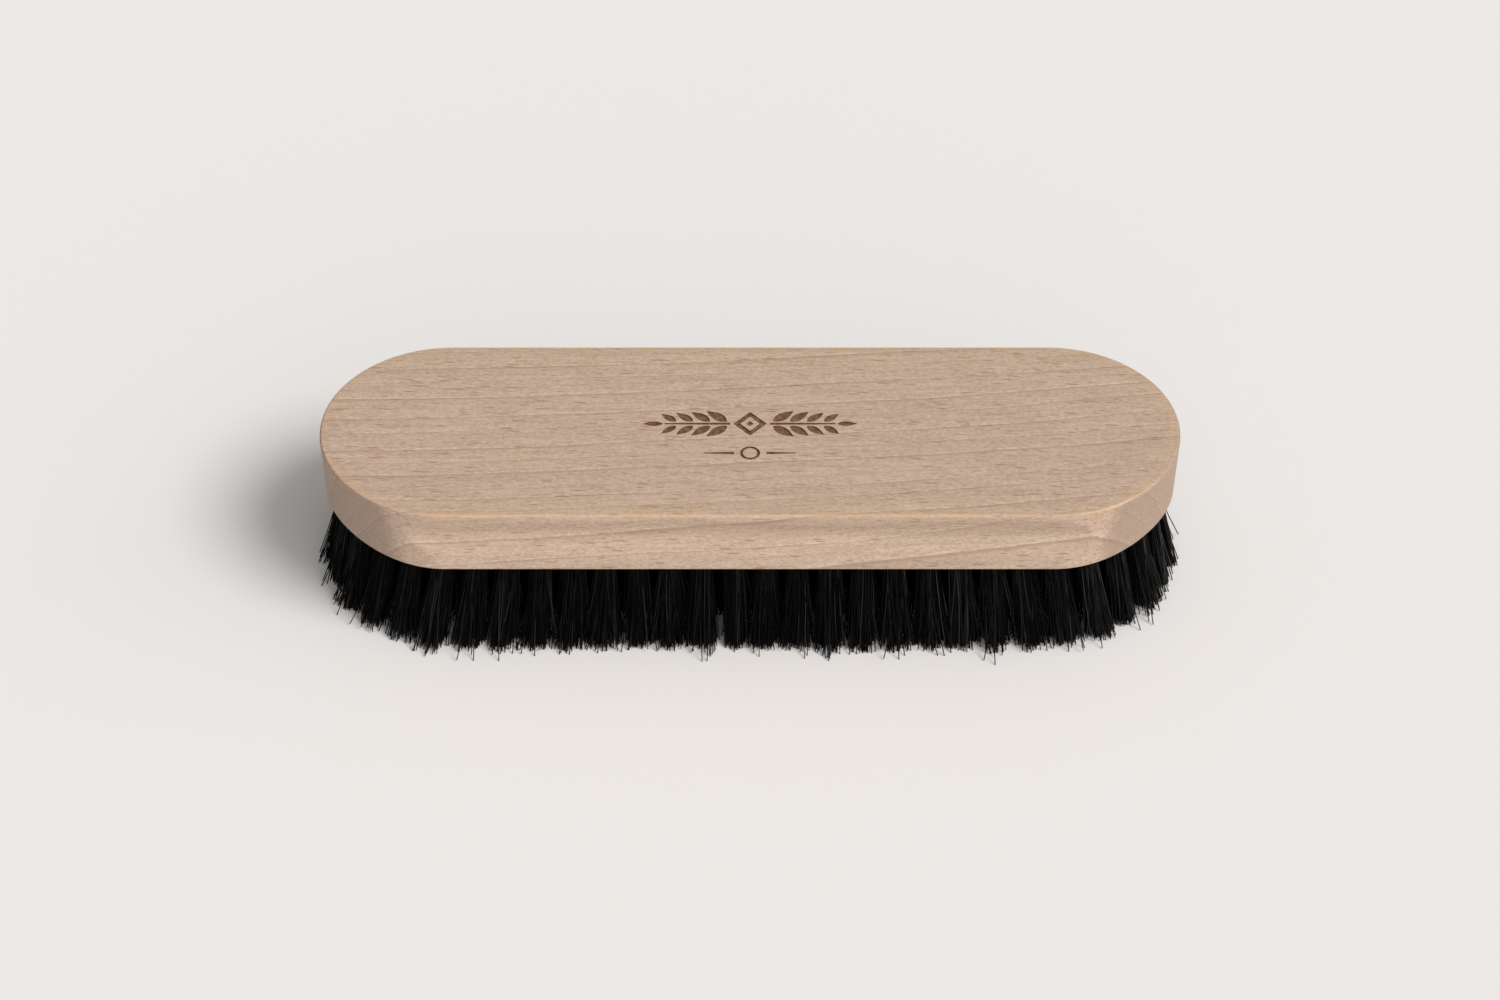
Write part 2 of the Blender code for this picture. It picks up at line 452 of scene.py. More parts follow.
def scorched_material(settings, grain_tree):
    material, g, shader = new_material("scorched_beech", CHAR_ROUGHNESS)
    place, facing = wood_coordinates(g)
    grain = placed_group(g, grain_tree, {"Place": place, "Facing": facing})
    char = g.ramp(g.noise(g.times(place, CHAR_SPECKS), 3.0), -0.2, 0.25)
    colour = g.mix(char, with_alpha(settings.burnt_colour), with_alpha(settings.singed_colour))
    fibre = g.ramp(grain["Fibre"], -0.3, 0.3, 0.0, 0.5, "LINEAR")
    colour = g.mix(fibre, colour, with_alpha(settings.burnt_colour))
    g.feed(shader.inputs["Base Color"], colour)
    g.feed(shader.inputs["Roughness"], grain["Fibre"] * 0.2 + CHAR_ROUGHNESS)
    bumped(g, shader, grain["Height"], 0.05 * MM, 0.7)
    return material


def hair_material(settings):
    material, g, shader = new_material("black_horsehair", 0.4, Specular_IOR_Level=0.1)
    tint = g.add("ShaderNodeAttribute", output="Fac", attribute_name="tint")
    # a few hairs are painted paler as glints of lit strands; most stay near black
    painted_glint = g.maths("POWER", tint, HAIR_SHINE_POWER)
    colour = g.mix(painted_glint, with_alpha(HAIR_BLACK), with_alpha(settings.hair_colour))
    brown = g.ramp(tint, BROWN_FROM, BROWN_FROM + 0.001)
    colour = g.mix(brown, colour, with_alpha(settings.brown_colour))
    golden = g.ramp(tint, GOLDEN_FROM, GOLDEN_FROM + 0.0002)
    colour = g.mix(golden, colour, with_alpha(settings.golden_colour))
    g.feed(shader.inputs["Base Color"], colour)
    g.feed(shader.inputs["Roughness"], g.ramp(tint, 0.0, 1.0, 0.6, 0.3, "LINEAR"))
    return material


def steel_material():
    colour = (0.5, 0.49, 0.47, 1.0)
    plain = {"Metallic": 1.0, "Base_Color": colour}
    material, g, shader = new_material("drawn_steel", STEEL_ROUGHNESS, **plain)
    place = g.add("ShaderNodeTexCoord", output="Object")
    streaks = g.noise(g.times(place, STEEL_STREAKS), 2.0)
    g.feed(shader.inputs["Roughness"], streaks * 0.3 + STEEL_ROUGHNESS)
    bumped(g, shader, streaks, 0.01 * MM, 0.5)
    return material


def floor_material(settings):
    return new_material("pale_floor", 0.9, Base_Color=with_alpha(settings.floor_colour))[0]


# Geometry trees

ARRIS_STEPS = 7  # faces over the rounded top edge
LOWER_ARRIS_STEPS = 3  # and over the eased bottom edge
TOP_MARGIN = 2.6 * MM  # width of the ring of faces round the flat top
UNDER_MARGIN = 0.6 * MM  # and round the underside
BURNISH_AND_HIGHLIGHT_STEPS = 3  # faces below the rounded edge over which its burnish and painted highlight fade

RIM_BIAS = 0.4  # below 1, hairs crowd towards the rim of their tuft
LEAST_STRAY = 0.05  # how far hairs stray, as shares of the Stray input: every hair,
USUAL_STRAY = 0.5  # what chance adds at most,
LOOSE_STRAY = 1.4  # and what the loosest add to that
LOOSE_FROM = 0.94  # chance above which a hair is loose
SHORT_CLUMPS = 0.65  # share of the raggedness that goes by clumps,
SHORT_HAIRS = 0.35  # and by single hairs
THIN_FROM = 0.3  # share of the free length where hairs begin to thin
TIP_THICKNESS = 0.9  # thickness of a tip, as a share of the hair's


def block_tree():
    """A closed tube of points pushed into the block's shape: outline round it, wall down it."""
    inputs = [
        ("Geometry", "Geometry", None), ("Length", "Float", 0.18), ("Width", "Float", 0.054),
        ("Thickness", "Float", 0.015), ("Top", "Float", 0.037), ("Arris", "Float", 0.0006),
        ("Lower Arris", "Float", 0.0003), ("End Taper", "Float", 0.0008),
        ("Corner Draft", "Float", 0.0011),
        ("Cove Depth", "Float", 0.0013), ("Cove Top", "Float", 0.0006),
        ("Cove Deepest", "Float", 0.0064), ("Cove Foot", "Float", 0.0127),
        ("Steps Round", "Int", 560), ("Steps Down", "Int", 54), ("Wood", "Material", None),
    ]
    g = Group("block_body", "GeometryNodeTree", inputs, [("Geometry", "Geometry")])
    length, width, thickness = g.take("Length", "Width", "Thickness")
    arris, lower_arris, steps = g.take("Arris", "Lower Arris", "Steps Down")
    around = g.take("Steps Round")
    tube = {"Vertices": around, "Side Segments": steps, "Radius": 1.0, "Depth": 1.0}
    mesh = g.add("GeometryNodeMeshCylinder", tube, fill_type="NGON")
    x, y, z = g.parts(g.add("GeometryNodeInputPosition"))

    step = (0.5 - z) * steps

    def share(first, count):
        """0 to 1 over some of the steps down the tube."""
        return g.add("ShaderNodeClamp", {"Value": (step - first) / count})

    quarter = math.pi / 2
    wall_from = 1 + ARRIS_STEPS
    below_wall = 1 + LOWER_ARRIS_STEPS
    upper_turn = share(1, ARRIS_STEPS) * quarter
    lower_turn = share(steps - below_wall, LOWER_ARRIS_STEPS) * quarter
    margins = (1 - share(0, 1)) * TOP_MARGIN + share(steps - 1, 1) * UNDER_MARGIN
    wall = share(wall_from, steps - (wall_from + below_wall))
    inset = arris * (1 - g.maths("SINE", upper_turn)) + margins
    inset = inset + lower_arris * (1 - g.maths("COSINE", lower_turn))
    depth = arris * (1 - g.maths("COSINE", upper_turn)) + (thickness - arris - lower_arris) * wall
    depth = depth + lower_arris * g.maths("SINE", lower_turn)

    half_width = width * 0.5
    end_centre = length * 0.5 - half_width
    arc = half_width * quarter
    round_share = g.maths("ARCTAN2", g.maths("ABSOLUTE", y), g.maths("ABSOLUTE", x)) / quarter
    along = round_share * (arc + end_centre)
    turn = g.maths("MINIMUM", along / half_width, quarter)
    cosine, sine = g.maths("COSINE", turn), g.maths("SINE", turn)
    double_sine = 2.0 * sine * cosine
    draft = g.take("End Taper") * cosine * cosine
    draft = draft + g.take("Corner Draft") * double_sine * double_sine
    radius = half_width - inset - draft * depth / thickness
    straight = g.maths("MAXIMUM", along - arc, 0.0)
    new_x = g.maths("SIGN", x) * (end_centre + radius * cosine - straight)

    cove_top, deepest, foot = g.take("Cove Top", "Cove Deepest", "Cove Foot")
    inwards = g.ramp(depth, cove_top, deepest)
    outwards = g.ramp(depth, deepest, foot, 1.0, 0.0)
    limit = half_width - inset - g.take("Cove Depth") * g.maths("MINIMUM", inwards, outwards)
    side = g.maths("MINIMUM", radius * sine, limit)
    new_y = g.maths("SIGN", y) * side
    place = g.vector(new_x, new_y, g.take("Top") - depth)
    # the rounded top edge and a few faces below it, where its burnish and a painted highlight go
    burnish_and_highlight = share(0, 1) * g.ramp(step, wall_from, wall_from + BURNISH_AND_HIGHLIGHT_STEPS, 1.0, 0.0)
    mesh = g.store(mesh, "burnish_and_highlight", burnish_and_highlight)
    mesh = g.add("GeometryNodeSetPosition", {"Geometry": mesh, "Position": place})
    mesh = g.add("GeometryNodeRealizeInstances", {"Geometry": mesh})
    mesh = g.add("GeometryNodeSetMaterial", {"Geometry": mesh, "Material": g.take("Wood")})
    g.give("Geometry", mesh)
    return g.tree


def drilled_tree():
    """One round bit for each tuft, in line with it, to cut the blind holes with."""
    inputs = [("Geometry", "Geometry", None), ("Hole Radius", "Float", 0.0023),
              ("Hole Depth", "Float", 0.009), ("Hair Length", "Float", 0.022),
              ("Sides", "Int", 18), ("Wood", "Material", None)]
    g = Group("drilled_holes", "GeometryNodeTree", inputs, [("Geometry", "Geometry")])
    points, depth = g.take("Geometry", "Hole Depth")
    bit = {"Vertices": g.take("Sides"), "Radius": g.take("Hole Radius")}
    bit["Depth"] = depth + CUTTER_LEAD
    bit = g.add("GeometryNodeMeshCylinder", bit, fill_type="NGON")
    middle = g.vector(0.0, 0.0, (depth - CUTTER_LEAD) * 0.5)
    bit = g.add("GeometryNodeTransform", {"Geometry": bit, "Translation": middle})
    lean = g.attribute("lean", "FLOAT_VECTOR")
    upwards = g.plus(g.vector(0.0, 0.0, g.take("Hair Length")), g.times(lean, -1.0))
    turn = g.add("FunctionNodeAlignRotationToVector", {"Vector": upwards}, axis="Z")
    bits = {"Points": points, "Instance": bit, "Rotation": turn}
    mesh = g.add("GeometryNodeInstanceOnPoints", bits)
    mesh = g.add("GeometryNodeRealizeInstances", {"Geometry": mesh})
    mesh = g.add("GeometryNodeSetMaterial", {"Geometry": mesh, "Material": g.take("Wood")})
    g.give("Geometry", mesh)
    return g.tree


def anchor_tree():
    """A short flattened wire across each hole, near its bottom."""
    inputs = [("Geometry", "Geometry", None), ("Wire Length", "Float", 0.0046),
              ("Wire Thickness", "Float", 0.00035), ("Wire Height", "Float", 0.0018),
              ("Depth In Hole", "Float", 0.0072), ("Hair Length", "Float", 0.022),
              ("Steel", "Material", None)]
    g = Group("wire_anchors", "GeometryNodeTree", inputs, [("Geometry", "Geometry")])
    half = g.take("Wire Length") * 0.5
    ends = {"Start": g.vector(half * -1.0, 0.0, 0.0), "End": g.vector(half, 0.0, 0.0)}
    line = g.add("GeometryNodeCurvePrimitiveLine", ends)
    section = g.add("GeometryNodeCurvePrimitiveCircle", {"Resolution": 8, "Radius": 0.5})
    size = g.vector(g.take("Wire Thickness"), g.take("Wire Height"), 1.0)
    section = g.add("GeometryNodeTransform", {"Geometry": section, "Scale": size})
    wire = {"Curve": line, "Profile Curve": section, "Fill Caps": True}
    wire = g.add("GeometryNodeCurveToMesh", wire)
    lean = g.attribute("lean", "FLOAT_VECTOR")
    upwards = g.plus(g.vector(0.0, 0.0, g.take("Hair Length")), g.times(lean, -1.0))
    turn = g.add("FunctionNodeAlignRotationToVector", {"Vector": upwards}, axis="Z")
    share = g.take("Depth In Hole") / g.take("Hair Length")
    raised = {"Geometry": g.take("Geometry"), "Offset": g.times(upwards, share)}
    points = g.add("GeometryNodeSetPosition", raised)
    wires = {"Points": points, "Instance": wire, "Rotation": turn}
    mesh = g.add("GeometryNodeInstanceOnPoints", wires)
    mesh = g.add("GeometryNodeRealizeInstances", {"Geometry": mesh})
    mesh = g.add("GeometryNodeSetMaterial", {"Geometry": mesh, "Material": g.take("Steel")})
    g.give("Geometry", mesh)
    return g.tree


def tuft_tree():
    """A bundle of hairs at each point. It starts in the hole and fans towards the tips."""
    inputs = [
        ("Geometry", "Geometry", None), ("Hairs", "Int", 215), ("Clumps", "Int", 26),
        ("Hair Length", "Float", 0.022), ("Hair Thickness", "Float", 0.00025),
        ("Bundle Radius", "Float", 0.00205), ("Depth In Hole", "Float", 0.008),
        ("Fan", "Float", 1.0), ("Flare", "Float", 1.0), ("Gather", "Float", 0.5),
        ("Stray", "Float", 0.0023), ("Curl", "Float", 0.00035), ("Ragged", "Float", 0.0013),
        ("Steps", "Int", 7), ("Seed", "Int", 1), ("Hair", "Material", None),
    ]
    g = Group("hair_tufts", "GeometryNodeTree", inputs, [("Geometry", "Geometry")])
    seed, hair_length = g.take("Seed", "Hair Length")
    points = g.store(g.take("Geometry"), "tuft", g.add("GeometryNodeInputIndex"))
    copies = {"Geometry": points, "Amount": g.take("Hairs")}
    points = g.add("GeometryNodeDuplicateElements", copies, domain="POINT")
    clumps = g.take("Clumps")
    clump = g.maths("FLOOR", g.random(0.0, clumps, seed)) + g.attribute("tuft") * clumps
    points = g.store(points, "clump", clump)
    clump = g.attribute("clump")
    reach = g.maths("POWER", g.random(0.0, 1.0, seed + 1), RIM_BIAS)
    spot = g.scattered(reach, seed + 2)
    points = g.store(points, "spot", spot, "FLOAT_VECTOR")
    reach = g.maths("POWER", g.random(0.0, 1.0, seed + 3, clump), RIM_BIAS)
    meet = g.scattered(reach, seed + 4, clump)
    points = g.store(points, "meet", meet, "FLOAT_VECTOR")
    chance = g.random(0.0, 1.0, seed + 5)
    wildness = LEAST_STRAY + USUAL_STRAY * chance * chance
    wildness = wildness + g.ramp(chance, LOOSE_FROM, 1.0, 0.0, LOOSE_STRAY)
    swerve = g.maths("POWER", g.random(0.0, 1.0, seed + 6, clump), 2.0)
    wild = g.plus(g.scattered(wildness, seed + 7), g.scattered(swerve, seed + 8, clump))
    points = g.store(points, "wild", wild, "FLOAT_VECTOR")
    bend = g.scattered(g.random(0.1, 1.0, seed + 9), seed + 10)
    points = g.store(points, "bend", bend, "FLOAT_VECTOR")
    short = g.maths("POWER", g.random(0.0, 1.0, seed + 11, clump), 2.0) * SHORT_CLUMPS
    short = short + g.maths("POWER", g.random(0.0, 1.0, seed + 12), 4.0) * SHORT_HAIRS
    points = g.store(points, "short", short)
    points = g.store(points, "foot", g.add("GeometryNodeInputPosition"), "FLOAT_VECTOR")
    points = g.store(points, "tint", g.random(0.0, 1.0, seed + 13))

    line = g.add("GeometryNodeCurvePrimitiveLine", {"Start": (0, 0, 0), "End": (0, 0, -1.0)})
    line = g.add("GeometryNodeResampleCurve", {"Curve": line, "Count": g.take("Steps")})
    hairs = g.add("GeometryNodeInstanceOnPoints", {"Points": points, "Instance": line})
    hairs = g.add("GeometryNodeRealizeInstances", {"Geometry": hairs})

    along = g.add("GeometryNodeSplineParameter")
    foot = g.attribute("foot", "FLOAT_VECTOR")
    lean = g.attribute("lean", "FLOAT_VECTOR")
    _, lean_sideways, _ = g.parts(lean)
    cut = hair_length - g.attribute("short") * g.take("Ragged")
    start = g.take("Depth In Hole") * -1.0
    down = start + (cut - start) * along
    out = down / hair_length
    free = g.maths("MAXIMUM", out, 0.0)
    width = g.take("Bundle Radius") * (1 + g.take("Fan") * free)
    gather = g.take("Gather") * free
    spot = g.times(g.attribute("spot", "FLOAT_VECTOR"), width * (1 - gather))
    meet = g.times(g.attribute("meet", "FLOAT_VECTOR"), width * gather)
    stray = g.take("Stray") * g.maths("POWER", free, 1.5)
    curl_size = g.take("Curl") * g.maths("SINE", free * math.pi)
    place = g.plus(
        foot,
        g.times(lean, out),
        g.times(g.vector(0.0, lean_sideways, 0.0), (g.take("Flare") - 1) * free),
        spot,
        meet,
        g.times(g.attribute("wild", "FLOAT_VECTOR"), stray),
        g.times(g.attribute("bend", "FLOAT_VECTOR"), curl_size),
        g.vector(0.0, 0.0, down * -1.0),
    )
    hairs = g.add("GeometryNodeSetPosition", {"Geometry": hairs, "Position": place})
    thin = g.ramp(free, THIN_FROM, 1.0, 1.0, TIP_THICKNESS, "LINEAR")
    hairs = g.add("GeometryNodeSetCurveRadius", {"Curve": hairs, "Radius": thin})
    section = {"Resolution": 3, "Radius": g.take("Hair Thickness") * 0.5}
    section = g.add("GeometryNodeCurvePrimitiveCircle", section)
    tube = {"Curve": hairs, "Profile Curve": section, "Fill Caps": True}
    mesh = g.add("GeometryNodeCurveToMesh", tube)
    for name in ("tuft", "clump", "foot", "lean", "spot", "meet", "wild", "bend", "short"):
        mesh = g.add("GeometryNodeRemoveAttribute", {"Geometry": mesh, "Name": name})
    mesh = g.add("GeometryNodeRealizeInstances", {"Geometry": mesh})
    mesh = g.add("GeometryNodeSetMaterial", {"Geometry": mesh, "Material": g.take("Hair")})
    g.give("Geometry", mesh)
    return g.tree


# The ornament

LOZENGE_SHAPE = 0.92  # width of the lozenge, as a share of its height
LOZENGE_LINES = (2.9, 3.1)  # how much smaller its opening is each way, in line widths
CENTRE_DOT = (1.5 * MM, 1.7 * MM)
STEM_GAP = 0.7 * MM  # from the lozenge to the stems
STEM_LINES = (0.75, 0.4)  # width of a stem at its start and its end, in line widths
END_LEAF = (4.3 * MM, 1.5 * MM)
END_LEAF_START = 4.6 * MM  # from the end of the ornament to the end of the stem
END_LEAF_GAP = 0.3 * MM
LEAF = (5.5 * MM, 2.3 * MM)
LEAF_PAIRS = 4
LEAF_START = 1.3 * MM  # from the lozenge to the first leaves
LEAF_PITCH = 3.55 * MM
LEAF_SHRINK = 0.09  # how much smaller each pair is
LEAF_LIFT = 0.7 * MM  # from the middle of the stem to the foot of a leaf
LEAF_TURN = math.radians(38)
RING_DROP = 9.3 * MM  # from the middle of the lozenge to the middle of the ring
RING_RADIUS = 2.1 * MM
RING_LINE = 0.6 * MM
RULE_SPAN = (3.4 * MM, 9.5 * MM)  # where a rule starts and ends, from the middle of the ring
RULE_WIDTHS = (0.8 * MM, 0.3 * MM)


def lozenge(x, y, width, height):
    return [(x + width / 2, y), (x, y + height / 2), (x - width / 2, y), (x, y - height / 2)]


def disc(x, y, radius, sides=32):
    turns = [2 * math.pi * side / sides for side in range(sides)]
    return [(x + radius * math.cos(turn), y + radius * math.sin(turn)) for turn in turns]


def tapered_rule(start, end, y, thick, thin):
    """A rule that narrows from its start to its end, with a blunt point."""
    below = [(start, y - thick / 2), (end, y - thin / 2)]
    return below + [(end, y + thin / 2), (start, y + thick / 2)]


def leaf(x, y, angle, length, width, steps=10):
    """A pointed leaf from its foot at (x, y), broadest a little before its middle."""
    edge = []
    for step in range(steps + 1):
        along = step / steps
        edge.append((along * length, width / 2 * math.sin(math.pi * along ** 0.8)))
    points = edge + [(u, -v) for u, v in edge[-2:0:-1]]
    cosine, sine = math.cos(angle), math.sin(angle)
    return [(x + u * cosine - v * sine, y + u * sine + v * cosine) for u, v in points]


def add_prism(mesh_data, outline, low, high):
    """A closed upright prism on the outline, whichever way round it was drawn."""
    area = sum(a[0] * b[1] - a[1] * b[0] for a, b in zip(outline, outline[1:] + outline[:1]))
    points = outline if area > 0 else outline[::-1]
    lower = [mesh_data.verts.new((x, y, low)) for x, y in points]
    upper = [mesh_data.verts.new((x, y, high)) for x, y in points]
    count = len(points)
    for i in range(count):
        j = (i + 1) % count
        mesh_data.faces.new((lower[i], lower[j], upper[j], upper[i]))
    mesh_data.faces.new(lower[::-1])
    mesh_data.faces.new(upper)


def add_frame_prism(mesh_data, outer, inner, low, high):
    """A closed upright prism with a hole through it. Both outlines run anticlockwise."""
    rings = []
    for outline, height in ((outer, low), (outer, high), (inner, high), (inner, low)):
        rings.append([mesh_data.verts.new((x, y, height)) for x, y in outline])
    count = len(outer)
    for first, second in zip(rings, rings[1:] + rings[:1]):
        for i in range(count):
            j = (i + 1) % count
            mesh_data.faces.new((first[i], first[j], second[j], second[i]))


def sprig_outlines(side, y, lozenge_half, half, line):
    """A stem with a leaf at its end and pairs of leaves along it, on one side of the lozenge."""
    tip = side * (half - END_LEAF_START)
    facing = 0.0 if side > 0 else math.pi
    stem = [width * line for width in STEM_LINES]
    outlines = [tapered_rule(side * (lozenge_half + STEM_GAP), tip, y, *stem)]
    outlines.append(leaf(tip + side * END_LEAF_GAP, y, facing, *END_LEAF))
    for pair in range(LEAF_PAIRS):
        foot = side * (lozenge_half + LEAF_START + pair * LEAF_PITCH)
        length, width = [part * (1.0 - LEAF_SHRINK * pair) for part in LEAF]
        for up in (-1, 1):
            turn = facing + up * side * LEAF_TURN
            outlines.append(leaf(foot, y + up * LEAF_LIFT, turn, length, width))
    return outlines


def ornament_mesh(settings):
    """A lozenge between two sprigs, and a small ring between two rules under it."""
    mesh_data = bmesh.new()
    low = TOP - settings.engraving_depth
    high = TOP + CUTTER_LEAD
    tall = settings.ornament_height
    wide = tall * LOZENGE_SHAPE
    line = settings.ornament_line
    y = settings.ornament_place
    less_wide, less_tall = [count * line for count in LOZENGE_LINES]
    opening = lozenge(0.0, y, wide - less_wide, tall - less_tall)
    add_frame_prism(mesh_data, lozenge(0.0, y, wide, tall), opening, low, high)
    add_prism(mesh_data, lozenge(0.0, y, *CENTRE_DOT), low, high)
    for side in (-1, 1):
        for outline in sprig_outlines(side, y, wide / 2, settings.ornament_width / 2, line):
            add_prism(mesh_data, outline, low, high)
    under = y - RING_DROP
    opening = disc(0.0, under, RING_RADIUS - RING_LINE)
    add_frame_prism(mesh_data, disc(0.0, under, RING_RADIUS), opening, low, high)
    for side in (-1, 1):
        start, end = [side * place for place in RULE_SPAN]
        add_prism(mesh_data, tapered_rule(start, end, under, *RULE_WIDTHS), low, high)
    mesh = bpy.data.meshes.new("ornament")
    mesh_data.to_mesh(mesh)
    mesh_data.free()
    return mesh


# Settings


def length_property(name, description, default):
    return FloatProperty(name=name, description=description, default=default, unit="LENGTH",
                         subtype="DISTANCE", precision=5)


def colour_property(name, description, default):
    return FloatVectorProperty(name=name, description=description, default=default,
                               subtype="COLOR", size=3, min=0.0, max=1.0)


class BlockSettings(bpy.types.PropertyGroup):
    length: length_property("Length", "End to end", BLOCK_HIGH.x - BLOCK_LOW.x)
    width: length_property("Width", "Side to side", BLOCK_HIGH.y - BLOCK_LOW.y)
    thickness: length_property("Thickness", "Underside to top", TOP - UNDERSIDE)
    arris: length_property("Arris", "Rounding of the top edge", 0.6 * MM)
    end_taper: length_property("End taper", "How far the ends draw in at the underside", 0.8 * MM)
    corner_draft: length_property("Corner draft", "The same, at the corners of the ends", 1.1 * MM)
    cove_depth: length_property("Cove depth", "Depth of the finger cove", 1.3 * MM)
    hole_radius: length_property("Hole radius", "Radius of a tuft's hole", 2.3 * MM)
    hole_depth: length_property("Hole depth", "Depth of a tuft's hole", 9.0 * MM)
    ornament_width: length_property("Ornament width", "Width of the engraved band", 45.0 * MM)
    ornament_height: length_property("Ornament height", "Height of the lozenge", 7.6 * MM)
    ornament_place: length_property("Ornament place", "Y of the engraved band", 1.9 * MM)
    ornament_line: length_property("Ornament line", "Width of the engraved lines", 1.0 * MM)
    engraving_depth: length_property("Engraving depth", "Depth of the ornament", 0.3 * MM)
    wood_colour: colour_property("Wood", "Ground colour of the wood", (0.65, 0.50, 0.375))
    warm_colour: colour_property("Warm wood", "Warmer patches of the wood", (0.66, 0.485, 0.37))
    pale_colour: colour_property("Early wood", "Pale band after each ring", (0.78, 0.63, 0.49))
    ring_colour: colour_property("Late wood", "Ring lines and dark fibres", (0.38, 0.25, 0.17))
    fleck_colour: colour_property("Ray flecks", "Short dark flecks", (0.35, 0.19, 0.115))
    # end grain's own darker tone, deepened as painted shade
    end_grain_and_shade_colour: colour_property("End grain and shade", "Tone of the end grain", (0.31, 0.215, 0.155))
    # burnished orange of the top edge, which also paints in its highlight
    burnish_and_highlight_colour: colour_property("Burnish and highlight", "Burnished top edge with a painted highlight", (0.62, 0.375, 0.185))
    burnt_colour: colour_property("Burnt", "Darkest part of the engraving", (0.11, 0.05, 0.025))
    singed_colour: colour_property("Singed", "Lightest part of the engraving", (0.30, 0.16, 0.085))


class HairSettings(bpy.types.PropertyGroup):
    hairs: IntProperty(name="Hairs", description="Hairs in each tuft", default=215, min=1)
    thickness: length_property("Thickness", "Thickness of one hair", 0.25 * MM)
    bundle_radius: length_property("Bundle radius", "Radius of a tuft in its hole", 2.05 * MM)
    fan: FloatProperty(name="Fan", description="Share by which a tuft widens to its tips",
                       default=1.0, subtype="FACTOR")
    end_fan: FloatProperty(name="Fan at the ends", description="The same, round the ends",
                           default=0.7, subtype="FACTOR")
    flare: FloatProperty(name="Flare", default=1.9,
                         description="Sideways lean of the rows' tips, in leans of their holes")
    gather: FloatProperty(name="Gather", description="How far hairs draw together at their tips",
                          default=0.5, subtype="FACTOR")
    stray: length_property("Stray", "How far single hairs stray at their tips", 2.3 * MM)
    curl: length_property("Curl", "How far single hairs bow", 0.35 * MM)
    ragged: length_property("Ragged", "How much shorter the shortest hairs are", 1.3 * MM)
    seed: IntProperty(name="Seed", description="Seed of the hair's variation", default=11)
    # palest hair tone, a painted glint of lit strands
    hair_colour: colour_property("Black hair", "Palest of the black hairs", (0.036, 0.035, 0.035))
    brown_colour: colour_property("Brown hair", "Colour of a few hairs", (0.03, 0.016, 0.009))
    golden_colour: colour_property("Golden hair", "Colour of very few hairs", (0.12, 0.065, 0.03))


class StageSettings(bpy.types.PropertyGroup):
    floor_colour: colour_property("Floor", "Colour of the floor", (0.86, 0.828, 0.803))
    elevation: FloatProperty(name="Elevation", description="The camera's angle above the floor",
                             default=math.radians(41.6), subtype="ANGLE", unit="ROTATION")
    distance: length_property("Distance", "From the camera to the middle of the top", 1.2)
    raised: length_property("Raised", "From the view's middle up to the top's", 14.7 * MM)
    lens: FloatProperty(name="Lens", description="Focal length in millimetres", default=137.8)
    key: FloatProperty(name="Key", description="Strength of the key light", default=1.93)
    fill: FloatProperty(name="Fill", description="Strength of the front fill light", default=0.7)
    side: FloatProperty(name="Side", description="Strength of the side light", default=0.68)
    sky: FloatProperty(name="Sky", description="Strength of the even light", default=0.29)


# Operators

ROW_SEED_STEP = 10
END_SEEDS = {"left": 1000, "right": 2000}
FLOOR_HALF = 6.0
KEY_FROM = (0.64, -0.46, 1.0)  # where each light stands, seen from the brush
FILL_FROM = (0.25, -1.0, 0.75)
SIDE_FROM = (1.0, -0.25, 0.4)
KEY_SOFTNESS = math.radians(27)  # angle that each light covers
WIDE_SOFTNESS = math.radians(60)


def shared(name, make, *values):
    """A tree or material that several operators use, made once."""
    for library in (bpy.data.node_groups, bpy.data.materials):
        if name in library:
            return library[name]
    return make(*values)


def finished(piece, nodes=()):
    """Puts the piece on the brush's one body and hides the imported parts that it replaces."""
    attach(piece, "root")
    if nodes:
        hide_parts(*nodes)


class BRUSH_OT_block(bpy.types.Operator):
    """Make the beech block, with its cove, its drilled holes and its engraved ornament"""

    bl_idname = "brush.block"
    bl_label = "Block"

    def execute(self, context):
        settings = context.scene.brush_block
        grain = shared("beech_grain", beech_grain_group)
        wood = beech_material(settings, grain, shared("edge_wear", wear_and_edge_highlight_group))
        burnt = scorched_material(settings, grain)
        values = {
            "Length": settings.length, "Width": settings.width, "Thickness": settings.thickness,
            "Top": TOP, "Arris": settings.arris, "End Taper": settings.end_taper,
            "Corner Draft": settings.corner_draft, "Cove Depth": settings.cove_depth, "Wood": wood,
        }
        empty = bpy.data.meshes.new("block_start")
        block = run_geometry_tree("beech_block", block_tree(), empty, values)
        values = {"Hole Radius": settings.hole_radius, "Hole Depth": settings.hole_depth,
                  "Hair Length": UNDERSIDE, "Wood": wood}
        sites = sites_mesh("hole_sites", ROW_NODES + LEFT_NODES + RIGHT_NODES)
        cut_away(block, run_geometry_tree("drill_bits", drilled_tree(), sites, values))
        mesh = ornament_mesh(settings)
        mesh.materials.append(burnt)
        ornament = bpy.data.objects.new("ornament", mesh)
        context.scene.collection.objects.link(ornament)
        cut_away(block, ornament)
        block.data.shade_smooth()
        block.data.set_sharp_from_angle(angle=SMOOTH_WOOD_BELOW)
        finished(block, ["block"])
        return {"FINISHED"}


class BRUSH_OT_anchors(bpy.types.Operator):
    """Make the wire anchors that hold the tufts in their holes"""

    bl_idname = "brush.anchors"
    bl_label = "Wire anchors"

    def execute(self, context):
        sites = sites_mesh("anchor_sites", ROW_NODES + LEFT_NODES + RIGHT_NODES)
        values = {"Steel": steel_material(), "Hair Length": UNDERSIDE}
        anchors = run_geometry_tree("wire_anchors", anchor_tree(), sites, values)
        anchors.data.shade_smooth()
        anchors.data.set_sharp_from_angle(angle=SMOOTH_STEEL_BELOW)
        finished(anchors)
        return {"FINISHED"}


